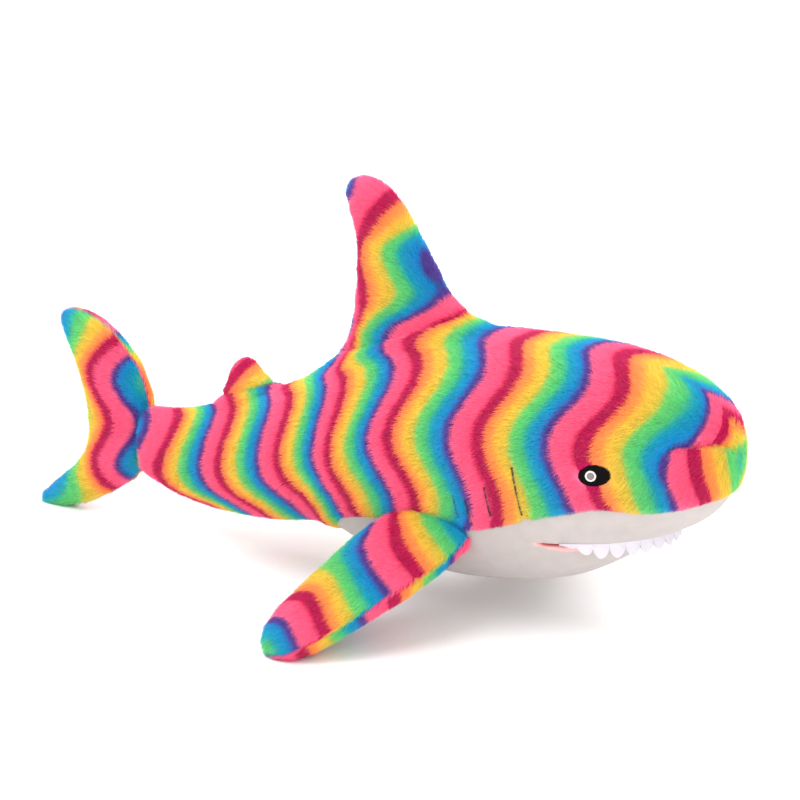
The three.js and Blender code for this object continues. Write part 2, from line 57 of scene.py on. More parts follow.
# Padded corners in front of and behind the dorsal fin: curve through the XZ plane, half thickness
FILLETS = [
    (((58, 231), (79, 195), (124, 188)), (6, 12)),
    (((17, 192), (9, 162), (-20, 141)), (5, 12)),
]
FILLET_STEPS = 24
REAR_HINGE = ((-108, 115), (-66, 129))
REAR_FLARE = (11, 31, 17, 8)
FLIPPER_ROOT = (108, -76, 67)
FLIPPER_TIP = (49, -166, 5)
CHORD_ROOT = (0.985, -0.06, 0.1)
CHORD_TIP = (0.7, -0.68, -0.1)
CHORD_TURN = 60
EYE = {"x": 228, "level": 126, "long": 21.5, "high": 14.5, "tilt": 8}
TEETH = {
    "from_x": 203, "level": 74, "top": 75.5, "band": 3.4, "tooth": 6.0, "pitch": 10.5, "step": 0.7,
    "proud": 0.2, "flare": 1.8, "thick": 1.3, "tuck": 0,
}
GILLS = [(134, 101, 137, 86), (143, 99, 147, 82), (157, 110, 161, 91), (176, 126, 183, 95)]

PILE = 5.0
FUR_PER_MM2 = 2.0
SKIN_GROW = 1.2
# How far from its root a lying fibre shows its colour
FIBRE_REACH = 3.2

# ---- stripes -------------------------------------------------------------------------------
# One cycle of the print, from one crimson stripe to the next: place in the cycle, sRGB colour
CYCLE = [
    (0.000, (206, 0, 98)), (0.064, (206, 0, 98)), (0.076, (255, 165, 112)), (0.150, (255, 184, 110)),
    (0.200, (240, 212, 98)), (0.305, (230, 214, 96)), (0.345, (140, 222, 142)), (0.445, (112, 214, 150)),
    (0.510, (20, 186, 208)), (0.620, (8, 162, 220)), (0.648, (104, 84, 172)), (0.702, (108, 76, 164)),
    (0.716, (250, 132, 170)), (0.928, (250, 118, 160)), (0.938, (206, 0, 98)), (1.000, (206, 0, 98)),
]
# The crimson stripes of the trunk at VREF round the girth: arc length, slant, swing, girth at the crest
VREF = 60
STEM_REPEAT = 100
SWING_LENGTH = 86
STRIPES = [
    (-143, 0.45, 18, 12), (-83, 0.38, 10, 27), (-24, 0.36, 7.5, 44), (25.5, 0.23, 6, 60),
    (81.5, 0.18, 8.3, 56), (154.5, 0.06, 7, 53.5), (227, 0.04, 8.5, 46),
]
# The nose: girth, then arc length of the purple stripe and of the crimson one
NOSE_PLACES = (6.67, 7)
NOSE_STRIPES = [
    (0, 274, 292), (15, 294, 310), (38, 289, 312), (56, 276, 306),
    (75, 272, 300), (88, 283, 306), (105, 288, 312), (130, 286, 312),
]
# Round the blunt front the print runs level to the centre seam: middle, radii, repeat
FRONT = {"x": 240, "long": 54, "wide": 58, "repeat": 72}
# Below the dart: level, then distance round the front to the crimson stripe
FRONT_CRIMSON = [(100, 61), (107, 59), (118, 53), (131, 48.7), (146, 47)]
# The dart sewn into each side of the nose: arc length, girth
DART = [(276, 56), (284.5, 46.7), (298, 32.6), (315, 12.5), (330, 0)]
MERIDIAN_FROM = 230
# The dorsal fin: level, then x of the cycle's places FIN_PLACES
FIN_PLACES = (3, 3.31, 3.67, 4, 5)
FIN_STRIPES = [
    (160, 7, 17, 42, 63, 140), (172, 12, 20, 43, 61, 142), (182, 16, 22, 44, 66, 144),
    (192, 20, 31, 52, 80, 147), (203, 22.5, 43, 70, 99, 156), (213, 21, 49, 77, 106, 170),
    (225, 16, 43, 68, 97, 160), (241, 17, 37, 61.5, 90, 150), (254, 25, 50, 66, 96, 156),
    (264, 30, 58, 84, 108, 168), (277, 37, 64, 92, 118, 178), (290, 34, 60, 88, 114, 174),
]


def look_up(table, at, column):
    """Smooth curve through the rows of a table, looked up by the first column."""
    table = np.asarray(table, float)
    key, value = table[:, 0], table[:, column]
    at = np.asarray(at, float)
    i = np.clip(np.searchsorted(key, at) - 1, 0, len(key) - 2)
    before, after = np.maximum(np.arange(len(key)) - 1, 0), np.minimum(np.arange(len(key)) + 1, len(key) - 1)
    slope = (value[after] - value[before]) / (key[after] - key[before])
    width = key[i + 1] - key[i]
    t = np.clip((at - key[i]) / width, 0, 1)
    p, q, m, n = value[i], value[i + 1], slope[i] * width, slope[i + 1] * width
    return p + t * m + t * t * (3 * (q - p) - 2 * m - n) + t**3 * (2 * (p - q) + m + n)


def smoothstep(low, high, value):
    t = np.clip((value - low) / (high - low), 0, 1)
    return t * t * (3 - 2 * t)


# ---- trunk ---------------------------------------------------------------------------------
def trunk_section(x):
    u = np.clip((x - NOSE_START_X) / (NOSE_X - NOSE_START_X), 0, 1)
    f = np.maximum(1 - u**NOSE_POWER, 0) ** (1 / NOSE_POWER)
    middle = look_up(TRUNK, x, 3)
    down = (middle - look_up(TRUNK, x, 1)) * f
    up = (look_up(TRUNK, x, 2) - middle) * f
    return middle, down, up, look_up(TRUNK, x, 4) * f


def signed_power(value, power):
    return np.sign(value) * np.abs(value) ** power


def ring_points(x, angles, grow=0.0):
    middle, down, up, half = trunk_section(x)
    y = signed_power(np.sin(angles), 2 / SECTION_POWER)
    z = signed_power(np.cos(angles), 2 / SECTION_POWER)
    height = np.where(z > 0, up, down) + grow
    return np.stack([np.full_like(y, x), -y * (half + grow), middle + z * height], 1)


def trunk_side(x, level):
    middle, down, up, half = trunk_section(x)
    v = np.abs(level - middle) / np.where(level > middle, up, down)
    return half * (1 - np.minimum(v, 1) ** SECTION_POWER) ** (1 / SECTION_POWER)


def side_normal(x, level):
    dx = trunk_side(x + 0.5, level) - trunk_side(x - 0.5, level)
    dz = trunk_side(x, level + 0.5) - trunk_side(x, level - 0.5)
    return Vector((-dx, -1, -dz)).normalized()


def frame_point(x, y, z):
    return Vector(((x - ORIGIN_X) * MM, y * MM, z * MM))


def new_object(name, verts, faces):
    mesh = bpy.data.meshes.new(name)
    mesh.from_pydata([tuple(v) for v in verts], [], faces)
    mesh.update()
    obj = bpy.data.objects.new(name, mesh)
    bpy.context.collection.objects.link(obj)
    return obj


def trunk_solid(name, start, grow=0.0, sides=96, stations=150):
    """The closed trunk from x = start to the nose."""
    angles = np.arange(sides) / sides * 2 * math.pi
    u = np.linspace(0, 1, stations, endpoint=False)
    xs = start + (NOSE_X + grow - start) * np.where(u < 0.6, u * 1.12, 0.672 + 0.328 * np.sin((u - 0.6) / 0.4 * math.pi / 2))
    rings = [ring_points(min(x, NOSE_X - 0.01), angles, grow) for x in xs]
    for ring, x in zip(rings, xs):
        ring[:, 0] = x
    verts = [p for ring in rings for p in ring]
    low, high = len(verts), len(verts) + 1
    verts += [np.array([start, 0, rings[0][:, 2].mean()]), np.array([NOSE_X + grow, 0, trunk_section(NOSE_X)[0]])]
    faces = []
    for r in range(stations - 1):
        for k in range(sides):
            n = (k + 1) % sides
            faces.append((r * sides + k, r * sides + n, (r + 1) * sides + n, (r + 1) * sides + k))
    last = (stations - 1) * sides
    for k in range(sides):
        n = (k + 1) % sides
        faces.append((low, n, k))
        faces.append((high, last + k, last + n))
    obj = new_object(name, [frame_point(*p) for p in verts], faces)
    recalculate(obj)
    return obj


def recalculate(obj):
    bm = bmesh.new()
    bm.from_mesh(obj.data)
    bmesh.ops.recalc_face_normals(bm, faces=bm.faces)
    bm.to_mesh(obj.data)
    bm.free()


def prism(name, outline, half=200):
    """Prism across the whole width with an outline in the XZ plane."""
    n = len(outline)
    verts = [frame_point(x, y, z) for y in (-half, half) for x, z in outline]
    faces = [tuple(range(n)), tuple(range(2 * n - 1, n - 1, -1))]
    faces += [(i, i + n, (i + 1) % n + n, (i + 1) % n) for i in range(n)]
    obj = new_object(name, verts, faces)
    recalculate(obj)
    return obj


def ellipsoid(name, hinge, spec):
    """The flare that the back rises in below an upright fin."""
    (x0, z0), (x1, z1) = hinge
    drop, *radii = spec
    along = Vector((x1 - x0, 0, z1 - z0)).normalized()
    up = Vector((-along.z, 0, along.x))
    centre = Vector(((x0 + x1) / 2, 0, (z0 + z1) / 2)) - up * drop
    mesh = bpy.data.meshes.new(name)
    bm = bmesh.new()
    bmesh.ops.create_uvsphere(bm, u_segments=48, v_segments=24, radius=1)
    for v in bm.verts:
        p = centre + along * v.co.x * radii[0] + Vector((0, 1, 0)) * v.co.y * radii[1] + up * v.co.z * radii[2]
        v.co = frame_point(*p)
    bm.to_mesh(mesh)
    bm.free()
    obj = bpy.data.objects.new(name, mesh)
    bpy.context.collection.objects.link(obj)
    return obj


def bezier(a, b, c, t):
    """Quadratic curve from a to c, drawn towards b."""
    return Vector(a) * (1 - t) ** 2 + Vector(b) * 2 * t * (1 - t) + Vector(c) * t**2


def fillet(name, curve, radii):
    """Padding in the corner between an upright fin's end and the back, along a curve in the XZ plane."""
    mesh = bpy.data.meshes.new(name)
    bm = bmesh.new()
    for k in range(FILLET_STEPS + 1):
        t = k / FILLET_STEPS
        radius = radii[0] * (1 - t) + radii[1] * t
        x, z = bezier(*curve, t)
        sphere = bmesh.ops.create_icosphere(bm, subdivisions=3, radius=radius * MM)
        for v in sphere["verts"]:
            v.co += frame_point(x, 0, z - radius)
    bm.to_mesh(mesh)
    bm.free()
    obj = bpy.data.objects.new(name, mesh)
    bpy.context.collection.objects.link(obj)
    return obj


# ---- mesh tools ------------------------------------------------------------------------------
def apply_modifiers(obj):
    depsgraph = bpy.context.evaluated_depsgraph_get()
    mesh = bpy.data.meshes.new_from_object(obj.evaluated_get(depsgraph))
    obj.modifiers.clear()
    obj.data = mesh
    return obj


def combine(obj, other, operation):
    modifier = obj.modifiers.new("cut", "BOOLEAN")
    modifier.operation = operation
    modifier.solver = "EXACT"
    modifier.object = other
    apply_modifiers(obj)
    return obj


def copy_of(name, source):
    obj = bpy.data.objects.new(name, source.data.copy())
    bpy.context.collection.objects.link(obj)
    return obj


def joined(name, sources):
    """One mesh of several objects' meshes, all in the row frame."""
    bm = bmesh.new()
    for source in sources:
        bm.from_mesh(source.data)
    mesh = bpy.data.meshes.new(name)
    bm.to_mesh(mesh)
    bm.free()
    obj = bpy.data.objects.new(name, mesh)
    bpy.context.collection.objects.link(obj)
    return obj


def discard(*objects):
    for obj in objects:
        bpy.data.objects.remove(obj)


def remesh(obj, voxel_mm):
    modifier = obj.modifiers.new("remesh", "REMESH")
    modifier.mode = "VOXEL"
    modifier.voxel_size = voxel_mm * MM
    apply_modifiers(obj)
    obj.data.materials.clear()
    for polygon in obj.data.polygons:
        polygon.use_smooth = True
    return obj


def positions(obj):
    co = np.empty(len(obj.data.vertices) * 3, np.float32)
    obj.data.vertices.foreach_get("co", co)
    return co.reshape(-1, 3).astype(float)


def normals(obj):
    no = np.empty(len(obj.data.vertices) * 3, np.float32)
    obj.data.vertices.foreach_get("normal", no)
    return no.reshape(-1, 3).astype(float)


def move_to(obj, points):
    obj.data.vertices.foreach_set("co", points.astype(np.float32).ravel())
    obj.data.update()


def relax(obj, rounds, weight=1.0, inflate=0.45):
    """Smooths the mesh; inflate undoes the shrinking, and weight may vary over the vertices."""
    edges = np.empty(len(obj.data.edges) * 2, np.int64)
    obj.data.edges.foreach_get("vertices", edges)
    a, b = edges.reshape(-1, 2).T
    points = positions(obj)
    count = np.bincount(a, minlength=len(points)) + np.bincount(b, minlength=len(points))
    weight = np.broadcast_to(np.asarray(weight, float), len(points))[:, None]
    for step in range(rounds * 2):
        mean = np.stack([
            np.bincount(a, points[b, k], len(points)) + np.bincount(b, points[a, k], len(points))
            for k in range(3)], 1) / np.maximum(count, 1)[:, None]
        points = points + (mean - points) * weight * (0.6 if step % 2 == 0 else -inflate)
    move_to(obj, points)
    return obj


def swell(obj, grow_mm):
    """Moves the whole surface out by the same distance."""
    move_to(obj, positions(obj) + normals(obj) * grow_mm * MM)
    return obj


def set_float(obj, name, values):
    attribute = obj.data.attributes.get(name) or obj.data.attributes.new(name, "FLOAT", "POINT")
    attribute.data.foreach_set("value", np.asarray(values, np.float32))


def set_vector(obj, name, values):
    attribute = obj.data.attributes.get(name) or obj.data.attributes.new(name, "FLOAT_VECTOR", "POINT")
    attribute.data.foreach_set("vector", np.asarray(values, np.float32).ravel())


# ---- stripe places ---------------------------------------------------------------------------
STATIONS = np.arange(-178, NOSE_X, 1.0)
RING_STEPS = 120


def girth_table():
    """Arc length from x = 0 and girth from the back seam, for each station and step round it.

    The arc length runs along the side as far as MERIDIAN_FROM, and from there along each fibre of
    the nose.
    """
    half = trunk_section(STATIONS)[3]
    side = np.concatenate([[0], np.cumsum(np.hypot(np.diff(STATIONS), np.diff(half)))])
    side -= np.interp(0, STATIONS, side)
    angles = np.linspace(0, math.pi, RING_STEPS + 1)
    rings = np.array([ring_points(x, angles) for x in STATIONS])
    step = np.linalg.norm(np.diff(rings, axis=0), axis=2)
    first = int(np.searchsorted(STATIONS, MERIDIAN_FROM))
    along = np.repeat(side[:, None], RING_STEPS + 1, axis=1)
    along[first + 1:] = side[first] + np.cumsum(step[first:], axis=0)
    girth = np.cumsum(np.linalg.norm(np.diff(rings, axis=1), axis=2), axis=1)
    return along, np.concatenate([np.zeros((len(STATIONS), 1)), girth], axis=1)


ALONG, GIRTH = girth_table()


def in_table(table, i, j, fx, fj):
    low = table[i, j] * (1 - fj) + table[i, j + 1] * fj
    high = table[i + 1, j] * (1 - fj) + table[i + 1, j + 1] * fj
    return low * (1 - fx) + high * fx


def trunk_coordinates(points):
    """Arc length along the trunk and girth from the back seam, for points in the row frame."""
    x, y, z = points.T / MM
    x = x + ORIGIN_X
    xc = np.clip(x, STATIONS[0], STATIONS[-1] - 1)
    middle, down, up, half = trunk_section(xc)
    across = (np.abs(y) / np.maximum(half, 1)) ** (SECTION_POWER / 2)
    height = np.abs(z - middle) / np.maximum(np.where(z > middle, up, down), 1)
    height = np.sign(z - middle) * height ** (SECTION_POWER / 2)
    angle = np.arctan2(across, height) / math.pi * RING_STEPS
    i = np.clip((xc - STATIONS[0]).astype(int), 0, len(STATIONS) - 2)
    j = np.clip(angle.astype(int), 0, RING_STEPS - 1)
    fx, fj = xc - STATIONS[0] - i, angle - j
    past_nose = np.maximum(x - xc, 0)
    return in_table(ALONG, i, j, fx, fj) + past_nose * 2, in_table(GIRTH, i, j, fx, fj)


def between_lines(lines, places, at):
    """Place in the cycle of at, between the lines (one row per line) of those places."""
    place = np.empty_like(at)
    last = len(places) - 1
    place[:] = places[0] + (at - lines[0]) / (lines[1] - lines[0]) * (places[1] - places[0])
    for k in range(1, last):
        share = (at - lines[k]) / (lines[k + 1] - lines[k])
        place = np.where(at > lines[k], places[k] + share * (places[k + 1] - places[k]), place)
    return place


def stripe_lines(girth):
    """Arc length of each crimson stripe at a girth; the first stands for one past the tail's crease."""
    lines = [s + slant * (girth - VREF) + swing * np.cos(2 * math.pi * (girth - crest) / SWING_LENGTH)
             for s, slant, swing, crest in STRIPES]
    return [lines[0] - STEM_REPEAT] + lines


def above_dart(along, girth):
    """Distance above the dart of the nose, negative below it, and behind its rear end as well."""
    table = np.array(DART, float)
    level = np.interp(along, table[:, 0], table[:, 1])
    return np.where(along < DART[0][0], 99.0, level - girth)


def front_place(points, above):
    """The print of the blunt front, where the dart has taken out part of the repeat below it."""
    x, y, z = points.T / MM
    ahead = (x + ORIGIN_X - FRONT["x"]) / FRONT["long"]
    turned = FRONT["long"] * np.arctan2(ahead, np.abs(y) / FRONT["wide"])
    upper = 7 + (turned - 71) / FRONT["repeat"] - 0.021 * (z - 148)
    lower = 7 + (turned - look_up(FRONT_CRIMSON, z, 1)) / FRONT["repeat"]
    return np.where(above > 0, upper, lower)


def trunk_place(points):
    along, girth = trunk_coordinates(points)
    purple, crimson = look_up(NOSE_STRIPES, girth, 1), look_up(NOSE_STRIPES, girth, 2)
    lines = stripe_lines(girth) + [purple, crimson]
    place = between_lines(lines, [*range(-1, len(STRIPES)), *NOSE_PLACES], along)
    x, above = points[:, 0] / MM + ORIGIN_X, above_dart(along, girth)
    front = np.where(above > 0, smoothstep(268, 282, x), smoothstep(255, 268, x))
    return place * (1 - front) + front_place(points, above) * front


def dorsal_place(points):
    x, z = points[:, 0] / MM + ORIGIN_X, points[:, 2] / MM
    lines = [look_up(FIN_STRIPES, z, k + 1) for k in range(len(FIN_PLACES))]
    return between_lines(lines, FIN_PLACES, x)


def tail_place(points):
    """The tail fin's print runs the other way, its stripes spreading towards the lower tip."""
    x, z = points[:, 0] / MM + ORIGIN_X, points[:, 2] / MM
    line = -213.5 + 8.5 * np.cos(2 * math.pi * (z - 81) / 70)
    behind = np.interp(z, [3, 8, 20, 38, 130, 150], [150, 128, 100, 70, 70, 80])
    far = 0.61 * (points[:, 1] > 0)
    return far - (x - line) / np.where(x < line, behind, 64)


def flipper_axes(points, side):
    """Distance along the flipper, across it and out of it, in millimetres."""
    root = np.array(FLIPPER_ROOT, float) * (1, side, 1)
    length = np.array(FLIPPER_TIP, float) * (1, side, 1) - root
    length /= np.linalg.norm(length)
    p = points / MM + (ORIGIN_X, 0, 0) - root
    along = p @ length
    turn = smoothstep(0, CHORD_TURN, along)[:, None]
    chord = np.array(CHORD_ROOT) * (1, side, 1) * (1 - turn) + np.array(CHORD_TIP) * (1, side, 1) * turn
    chord = chord - (chord @ length)[:, None] * length * turn
    chord /= np.linalg.norm(chord, axis=1)[:, None]
    out = np.cross(chord, length)
    out /= np.linalg.norm(out, axis=1)[:, None]
    out *= np.sign(out[:, 2])[:, None]
    return along, (p * chord).sum(1), (p * out).sum(1), length


def flipper_place(points, side):
    along, across, out, _ = flipper_axes(points, side)
    inner = -0.008 * (across - 30) ** 2
    outer = -5 * np.cos(2 * math.pi * (across - 5) / 75)
    t = smoothstep(26, 93, along)
    place = -(along - 26 - inner * (1 - t) - outer * t) / 68
    return np.where(out > 0, place, place + 0.3)


# ---- materials -------------------------------------------------------------------------------
def linear(colour):
    return tuple(c / 255 / 12.92 if c / 255 <= 0.04045 else ((c / 255 + 0.055) / 1.055) ** 2.4
                 for c in colour) + (1.0,)


def new_material(name, roughness, colour=None, sheen=0.0, specular=0.25):
    material = bpy.data.materials.new(name)
    material.use_nodes = True
    shader = material.node_tree.nodes["Principled BSDF"]
    shader.inputs["Roughness"].default_value = roughness
    shader.inputs["Specular IOR Level"].default_value = specular
    shader.inputs["Sheen Weight"].default_value = sheen
    shader.inputs["Sheen Roughness"].default_value = 0.5
    if colour:
        shader.inputs["Base Color"].default_value = linear(colour)
    return material, shader


def texture_space(material, stretch=(1, 1, 1)):
    """Object coordinates, stretched for directional grain."""
    nodes, links = material.node_tree.nodes, material.node_tree.links
    where, mapping = nodes.new("ShaderNodeTexCoord"), nodes.new("ShaderNodeMapping")
    mapping.inputs["Scale"].default_value = stretch
    links.new(where.outputs["Object"], mapping.inputs["Vector"])
    return mapping.outputs["Vector"]


def bumped(material, shader, texture_output, height_mm, strength=1.0):
    nodes, links = material.node_tree.nodes, material.node_tree.links
    bump = nodes.new("ShaderNodeBump")
    bump.inputs["Strength"].default_value = strength
    bump.inputs["Distance"].default_value = height_mm * MM
    links.new(texture_output, bump.inputs["Height"])
    links.new(bump.outputs["Normal"], shader.inputs["Normal"])


def mottled(material, shader, fac, dark, light):
    """Base colour between two tones by a texture."""
    nodes, links = material.node_tree.nodes, material.node_tree.links
    mix = nodes.new("ShaderNodeMix")
    mix.data_type = "RGBA"
    mix.inputs["A"].default_value, mix.inputs["B"].default_value = linear(dark), linear(light)
    links.new(fac, mix.inputs["Factor"])
    links.new(mix.outputs["Result"], shader.inputs["Base Color"])


def tinted_by(material, attribute_name, colour):
    """Lets an attribute of the mesh lead the base colour over to another one."""
    nodes, links = material.node_tree.nodes, material.node_tree.links
    base = nodes["Principled BSDF"].inputs["Base Color"]
    attribute, mix = nodes.new("ShaderNodeAttribute"), nodes.new("ShaderNodeMix")
    attribute.attribute_name = attribute_name
    mix.data_type = "RGBA"
    mix.inputs["B"].default_value = linear(colour)
    links.new(attribute.outputs["Fac"], mix.inputs["Factor"])
    links.new(base.links[0].from_socket, mix.inputs["A"])
    links.new(mix.outputs["Result"], base)


def grain(material, size_mm, detail=4.0, stretch=(1, 1, 1)):
    nodes, links = material.node_tree.nodes, material.node_tree.links
    texture = nodes.new("ShaderNodeTexNoise")
    texture.inputs["Scale"].default_value = 1000 / size_mm
    texture.inputs["Detail"].default_value = detail
    links.new(texture_space(material, stretch), texture.inputs["Vector"])
    return texture.outputs["Fac"]


def short_pile_material(name, dark, light, sheen):
    """Shorn plush: fine upright fibres, faint clouds where the pile has been brushed."""
    material, shader = new_material(name, 0.85, sheen=sheen)
    mottled(material, shader, grain(material, 9, 6), dark, light)
    bumped(material, shader, grain(material, 0.9, 6, (1, 1, 0.6)), 0.35, 0.8)
    return material


def felt_sheet_material(name, dark, light):
    material, shader = new_material(name, 0.95, sheen=0.1)
    mottled(material, shader, grain(material, 1.6, 8), dark, light)
    bumped(material, shader, grain(material, 0.7, 8), 0.25, 0.7)
    return material


def stitched_material(name, dark, light, roughness, pitch_mm=0.5, specular=0.25):
    """Satin stitch: rows of close thread."""
    material, shader = new_material(name, roughness, specular=specular)
    nodes, links = material.node_tree.nodes, material.node_tree.links
    rows = nodes.new("ShaderNodeTexWave")
    rows.bands_direction = "DIAGONAL"
    rows.inputs["Scale"].default_value = 1000 / pitch_mm / (2 * math.pi)
    rows.inputs["Distortion"].default_value = 1.2
    links.new(texture_space(material), rows.inputs["Vector"])
    mottled(material, shader, rows.outputs["Fac"], dark, light)
    bumped(material, shader, rows.outputs["Fac"], 0.18, 0.7)
    return material


def stripe_colour(material, shade_scale=1.0):
    """The print's colour at the place that the attribute place holds, scaled down where shade is painted."""
    nodes, links = material.node_tree.nodes, material.node_tree.links
    attribute = nodes.new("ShaderNodeAttribute")
    attribute.attribute_name = "place"
    fraction = nodes.new("ShaderNodeMath")
    fraction.operation = "FRACT"
    ramp = nodes.new("ShaderNodeValToRGB")
    elements = ramp.color_ramp.elements
    for (position, colour), element in zip(CYCLE, list(elements)):
        element.position = position
    for position, _ in CYCLE[2:]:
        elements.new(position)
    for element, (position, colour) in zip(elements, CYCLE):
        element.position = position
        element.color = tuple(c * shade_scale for c in linear(colour)[:3]) + (1.0,)
    links.new(attribute.outputs["Fac"], fraction.inputs[0])
    links.new(fraction.outputs[0], ramp.inputs["Fac"])
    return ramp.outputs["Color"]


def striped_skin_material():
    material, shader = new_material("striped_skin", 0.85, sheen=0.3)
    # Painted shade: the skin under the pile takes the print at 0.8 of its brightness, for the shade among the fibres'
    # roots.
    material.node_tree.links.new(stripe_colour(material, 0.8), shader.inputs["Base Color"])
    return material


def fibre_shader(material, colour, through=0.4):
    """Fibres scatter light on both sides and let part of it through."""
    nodes, links = material.node_tree.nodes, material.node_tree.links
    nodes.remove(nodes["Principled BSDF"])
    diffuse, translucent = nodes.new("ShaderNodeBsdfDiffuse"), nodes.new("ShaderNodeBsdfTranslucent")
    mix = nodes.new("ShaderNodeMixShader")
    mix.inputs["Fac"].default_value = through
    links.new(colour, diffuse.inputs["Color"])
    links.new(colour, translucent.inputs["Color"])
    links.new(diffuse.outputs[0], mix.inputs[1])
    links.new(translucent.outputs[0], mix.inputs[2])
    gloss, coat = nodes.new("ShaderNodeBsdfAnisotropic"), nodes.new("ShaderNodeMixShader")
    gloss.inputs["Roughness"].default_value = 0.42
    coat.inputs["Fac"].default_value = 0.025
    links.new(mix.outputs[0], coat.inputs[1])
    links.new(gloss.outputs[0], coat.inputs[2])
    links.new(coat.outputs[0], nodes["Material Output"].inputs["Surface"])


def striped_fur_material():
    """Fibres take the print's colour at their root; towards the tip a painted sheen pales them a little."""
    material, _ = new_material("striped_fibre", 0.55)
    nodes, links = material.node_tree.nodes, material.node_tree.links
    info = nodes.new("ShaderNodeHairInfo")
    vary = nodes.new("ShaderNodeHueSaturation")
    vary.inputs["Saturation"].default_value = 1.05
    spread = nodes.new("ShaderNodeMapRange")
    spread.inputs["To Min"].default_value = 0.78
    spread.inputs["To Max"].default_value = 1.32
    links.new(info.outputs["Random"], spread.inputs["Value"])
    links.new(spread.outputs["Result"], vary.inputs["Value"])
    links.new(stripe_colour(material), vary.inputs["Color"])
    # Painted sheen: the outer part of every fibre is mixed up to 8% towards near white.
    tip = nodes.new("ShaderNodeMix")
    tip.data_type = "RGBA"
    tip.inputs["B"].default_value = (1, 0.95, 0.95, 1)
    sheen_fade = nodes.new("ShaderNodeMapRange")
    sheen_fade.inputs["From Min"].default_value = 0.4
    sheen_fade.inputs["To Max"].default_value = 0.08
    links.new(info.outputs["Intercept"], sheen_fade.inputs["Value"])
    links.new(sheen_fade.outputs["Result"], tip.inputs["Factor"])
    links.new(vary.outputs["Color"], tip.inputs["A"])
    fibre_shader(material, tip.outputs["Result"])
    return material


# ---- pile ------------------------------------------------------------------------------------
def fur_nodes(name, skin, material, length_mm, per_mm2, root_mm, bend, seed):
    """Nodes that grow fibres from the points of a skin, combed along its attribute comb."""
    tree = bpy.data.node_groups.new(name, "GeometryNodeTree")
    tree.interface.new_socket("Geometry", in_out="INPUT", socket_type="NodeSocketGeometry")
    tree.interface.new_socket("Geometry", in_out="OUTPUT", socket_type="NodeSocketGeometry")
    add, link = tree.nodes.new, tree.links.new
    source, result = add("GeometryNodeObjectInfo"), add("NodeGroupOutput")
    source.transform_space = "RELATIVE"
    source.inputs["Object"].default_value = skin

    def named(attribute, kind):
        node = add("GeometryNodeInputNamedAttribute")
        node.data_type = kind
        node.inputs["Name"].default_value = attribute
        return node.outputs["Attribute"]

    def math_node(operation, a, b):
        node = add("ShaderNodeMath")
        node.operation = operation
        for socket, value in zip(node.inputs, (a, b)):
            if isinstance(value, (int, float)):
                socket.default_value = value
            else:
                link(value, socket)
        return node.outputs[0]

    def random(low, high, kind="FLOAT", extra=0):
        node = add("FunctionNodeRandomValue")
        node.data_type = kind
        place = {"FLOAT": 2, "FLOAT_VECTOR": 0}[kind]
        node.inputs[place].default_value = low
        node.inputs[place + 1].default_value = high
        node.inputs["Seed"].default_value = seed + extra
        return node.outputs[{"FLOAT": 1, "FLOAT_VECTOR": 0}[kind]]

    scatter = add("GeometryNodeDistributePointsOnFaces")
    scatter.inputs["Seed"].default_value = seed
    link(source.outputs["Geometry"], scatter.inputs["Mesh"])
    link(math_node("MULTIPLY", named("fur", "FLOAT"), per_mm2 / MM**2), scatter.inputs["Density"])

    fibre = add("GeometryNodeCurvePrimitiveBezierSegment")
    fibre.inputs["Resolution"].default_value = 4
    shape = {"Start": (0, 0, 0), "Start Handle": (0.05, 0, 0.3),
             "End Handle": (bend * 0.6, 0, 0.46), "End": (bend, 0, 0.5)}
    for socket, value in shape.items():
        fibre.inputs[socket].default_value = value

    comb = add("FunctionNodeAlignRotationToVector")
    comb.axis, comb.pivot_axis = "X", "Z"
    link(scatter.outputs["Rotation"], comb.inputs["Rotation"])
    link(named("comb", "FLOAT_VECTOR"), comb.inputs["Vector"])
    jitter = add("FunctionNodeRotateRotation")
    jitter.rotation_space = "LOCAL"
    link(comb.outputs["Rotation"], jitter.inputs[0])
    turn = add("FunctionNodeEulerToRotation")
    link(random((-0.2, -0.2, -0.3), (0.2, 0.2, 0.3), "FLOAT_VECTOR", 1), turn.inputs[0])
    link(turn.outputs[0], jitter.inputs[1])

    place = add("GeometryNodeInstanceOnPoints")
    link(scatter.outputs["Points"], place.inputs["Points"])
    link(jitter.outputs[0], place.inputs["Rotation"])
    size = math_node("MULTIPLY", random(0.7 * length_mm * MM, 1.12 * length_mm * MM, extra=2),
                     named("pile", "FLOAT"))
    link(size, place.inputs["Scale"])
    points = add("GeometryNodeResampleCurve")
    points.inputs["Count"].default_value = 5
    link(fibre.outputs[0], points.inputs["Curve"])
    link(points.outputs[0], place.inputs["Instance"])
    real = add("GeometryNodeRealizeInstances")
    link(place.outputs[0], real.inputs[0])
    taper = add("GeometryNodeSetCurveRadius")
    link(real.outputs[0], taper.inputs["Curve"])
    share = add("GeometryNodeSplineParameter").outputs["Factor"]
    link(math_node("MULTIPLY", math_node("SUBTRACT", 1.08, share), root_mm * MM), taper.inputs["Radius"])
    paint = add("GeometryNodeSetMaterial")
    paint.inputs["Material"].default_value = material
    link(taper.outputs[0], paint.inputs["Geometry"])
    link(paint.outputs[0], result.inputs[0])
    return tree


def combed(obj, direction, amount=0.35, cell_mm=14):
    """The direction in which the pile lies, with the drift of a handled pile."""
    points = positions(obj)
    drift = np.array([noise.noise_vector(Vector(p) / (cell_mm * MM)) for p in points])
    fine = np.array([noise.noise_vector(Vector(p) / (cell_mm * 0.35 * MM)) for p in points])
    set_vector(obj, "comb", np.asarray(direction, float) + drift * amount + fine * amount * 0.6)
    lumps = np.array([noise.noise(Vector(p) / (cell_mm * 0.5 * MM)) for p in points])
    return 1 + 0.22 * lumps


